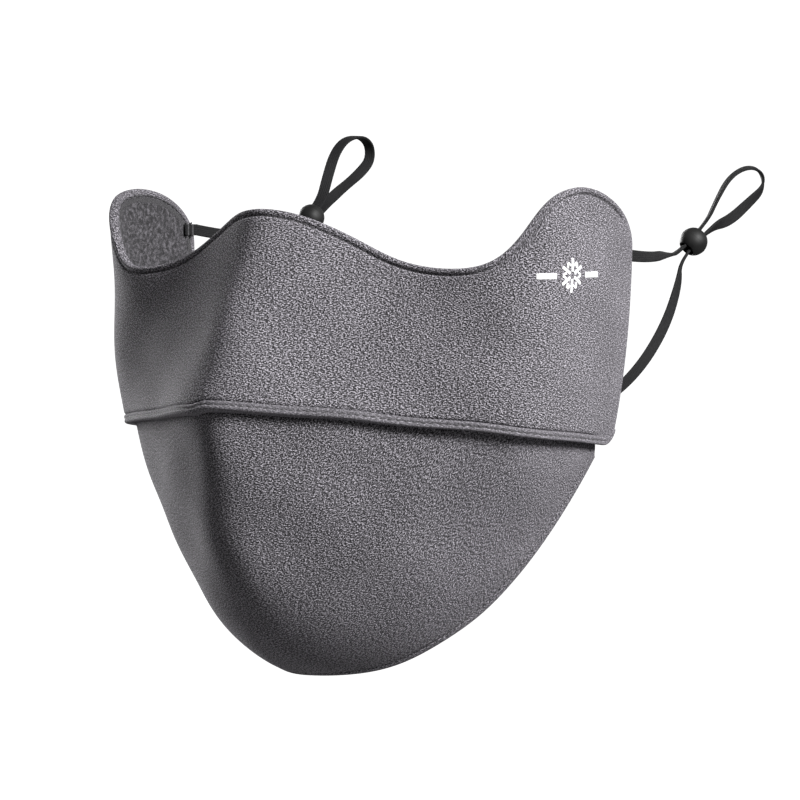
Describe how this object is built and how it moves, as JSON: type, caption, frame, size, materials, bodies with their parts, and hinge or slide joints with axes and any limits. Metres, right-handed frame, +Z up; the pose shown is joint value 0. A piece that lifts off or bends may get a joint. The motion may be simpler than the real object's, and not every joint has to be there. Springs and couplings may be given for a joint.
{
  "type": "half-face ski mask",
  "caption": "Cold-weather half-face mask: a lined nose-and-cheek band over a lined chin panel, with flat elastic ear loops tightened by round stopper beads.",
  "frame": {"origin": "middle of the band's lower hem on its outer side, in front of the tip of the wearer's nose", "axes": "+X towards the wearer's left, +Y back towards the wearer's face, +Z up"},
  "size_m": [0.157, 0.1855, 0.1569],
  "materials": {
    "face_fabric": "brushed heather-grey knit, matt",
    "lining_fleece": "short fleece, matt",
    "channel_tape": "plain woven tape",
    "thread": "polyester sewing thread",
    "black_elastic": "ribbed flat elastic",
    "black_silicone": "matt silicone",
    "wire_aluminium": "plain soft strip",
    "reflective_print": "white heat-transfer print"
  },
  "bodies": {
    "mask": {"nose_band_outer": "face_fabric", "nose_band_lining": "lining_fleece", "top_edge_roll": "face_fabric", "band_hem_fold": "face_fabric", "chin_panel_outer": "face_fabric", "chin_panel_lining": "lining_fleece", "chin_edge_roll": "face_fabric", "nose_wire": "wire_aluminium", "nose_wire_channel": "channel_tape", "bar_tacks": "thread", "cheek_print": "reflective_print", "side_edge_roll_left": "face_fabric", "chin_side_roll_left": "face_fabric", "elastic_tab_upper_left": "black_elastic", "elastic_tab_lower_left": "black_elastic", "side_edge_roll_right": "face_fabric", "chin_side_roll_right": "face_fabric", "elastic_tab_upper_right": "black_elastic", "elastic_tab_lower_right": "black_elastic"},
    "ear_loop_left": {"ear_elastic_left": "black_elastic"},
    "bead_left": {"stopper_bead_left": "black_silicone"},
    "ear_loop_right": {"ear_elastic_right": "black_elastic"},
    "bead_right": {"stopper_bead_right": "black_silicone"}
  },
  "joints": [
    {"name": "loop_swing_left", "type": "hinge", "parent": "mask", "child": "ear_loop_left", "pos_m": [0.0765, 0.0993, 0.0422], "axis": [0.1021, 0, 0.9948], "range_deg": [-60, 40], "stiffness_Nm_per_rad": 0.002},
    {"name": "bead_slide_left", "type": "slide", "parent": "ear_loop_left", "child": "bead_left", "axis": [0.3134, 0.6824, 0.6604], "range_m": [-0.02, 0.016], "deforming": ["ear_elastic_left"]},
    {"name": "loop_swing_right", "type": "hinge", "parent": "mask", "child": "ear_loop_right", "pos_m": [-0.0766, 0.0993, 0.049], "axis": [-0.0839, 0, 0.9965], "range_deg": [-40, 60], "stiffness_Nm_per_rad": 0.002},
    {"name": "bead_slide_right", "type": "slide", "parent": "ear_loop_right", "child": "bead_right", "axis": [0, 0.8192, 0.5736], "range_m": [-0.02, 0.016], "deforming": ["ear_elastic_right"]}
  ]
}
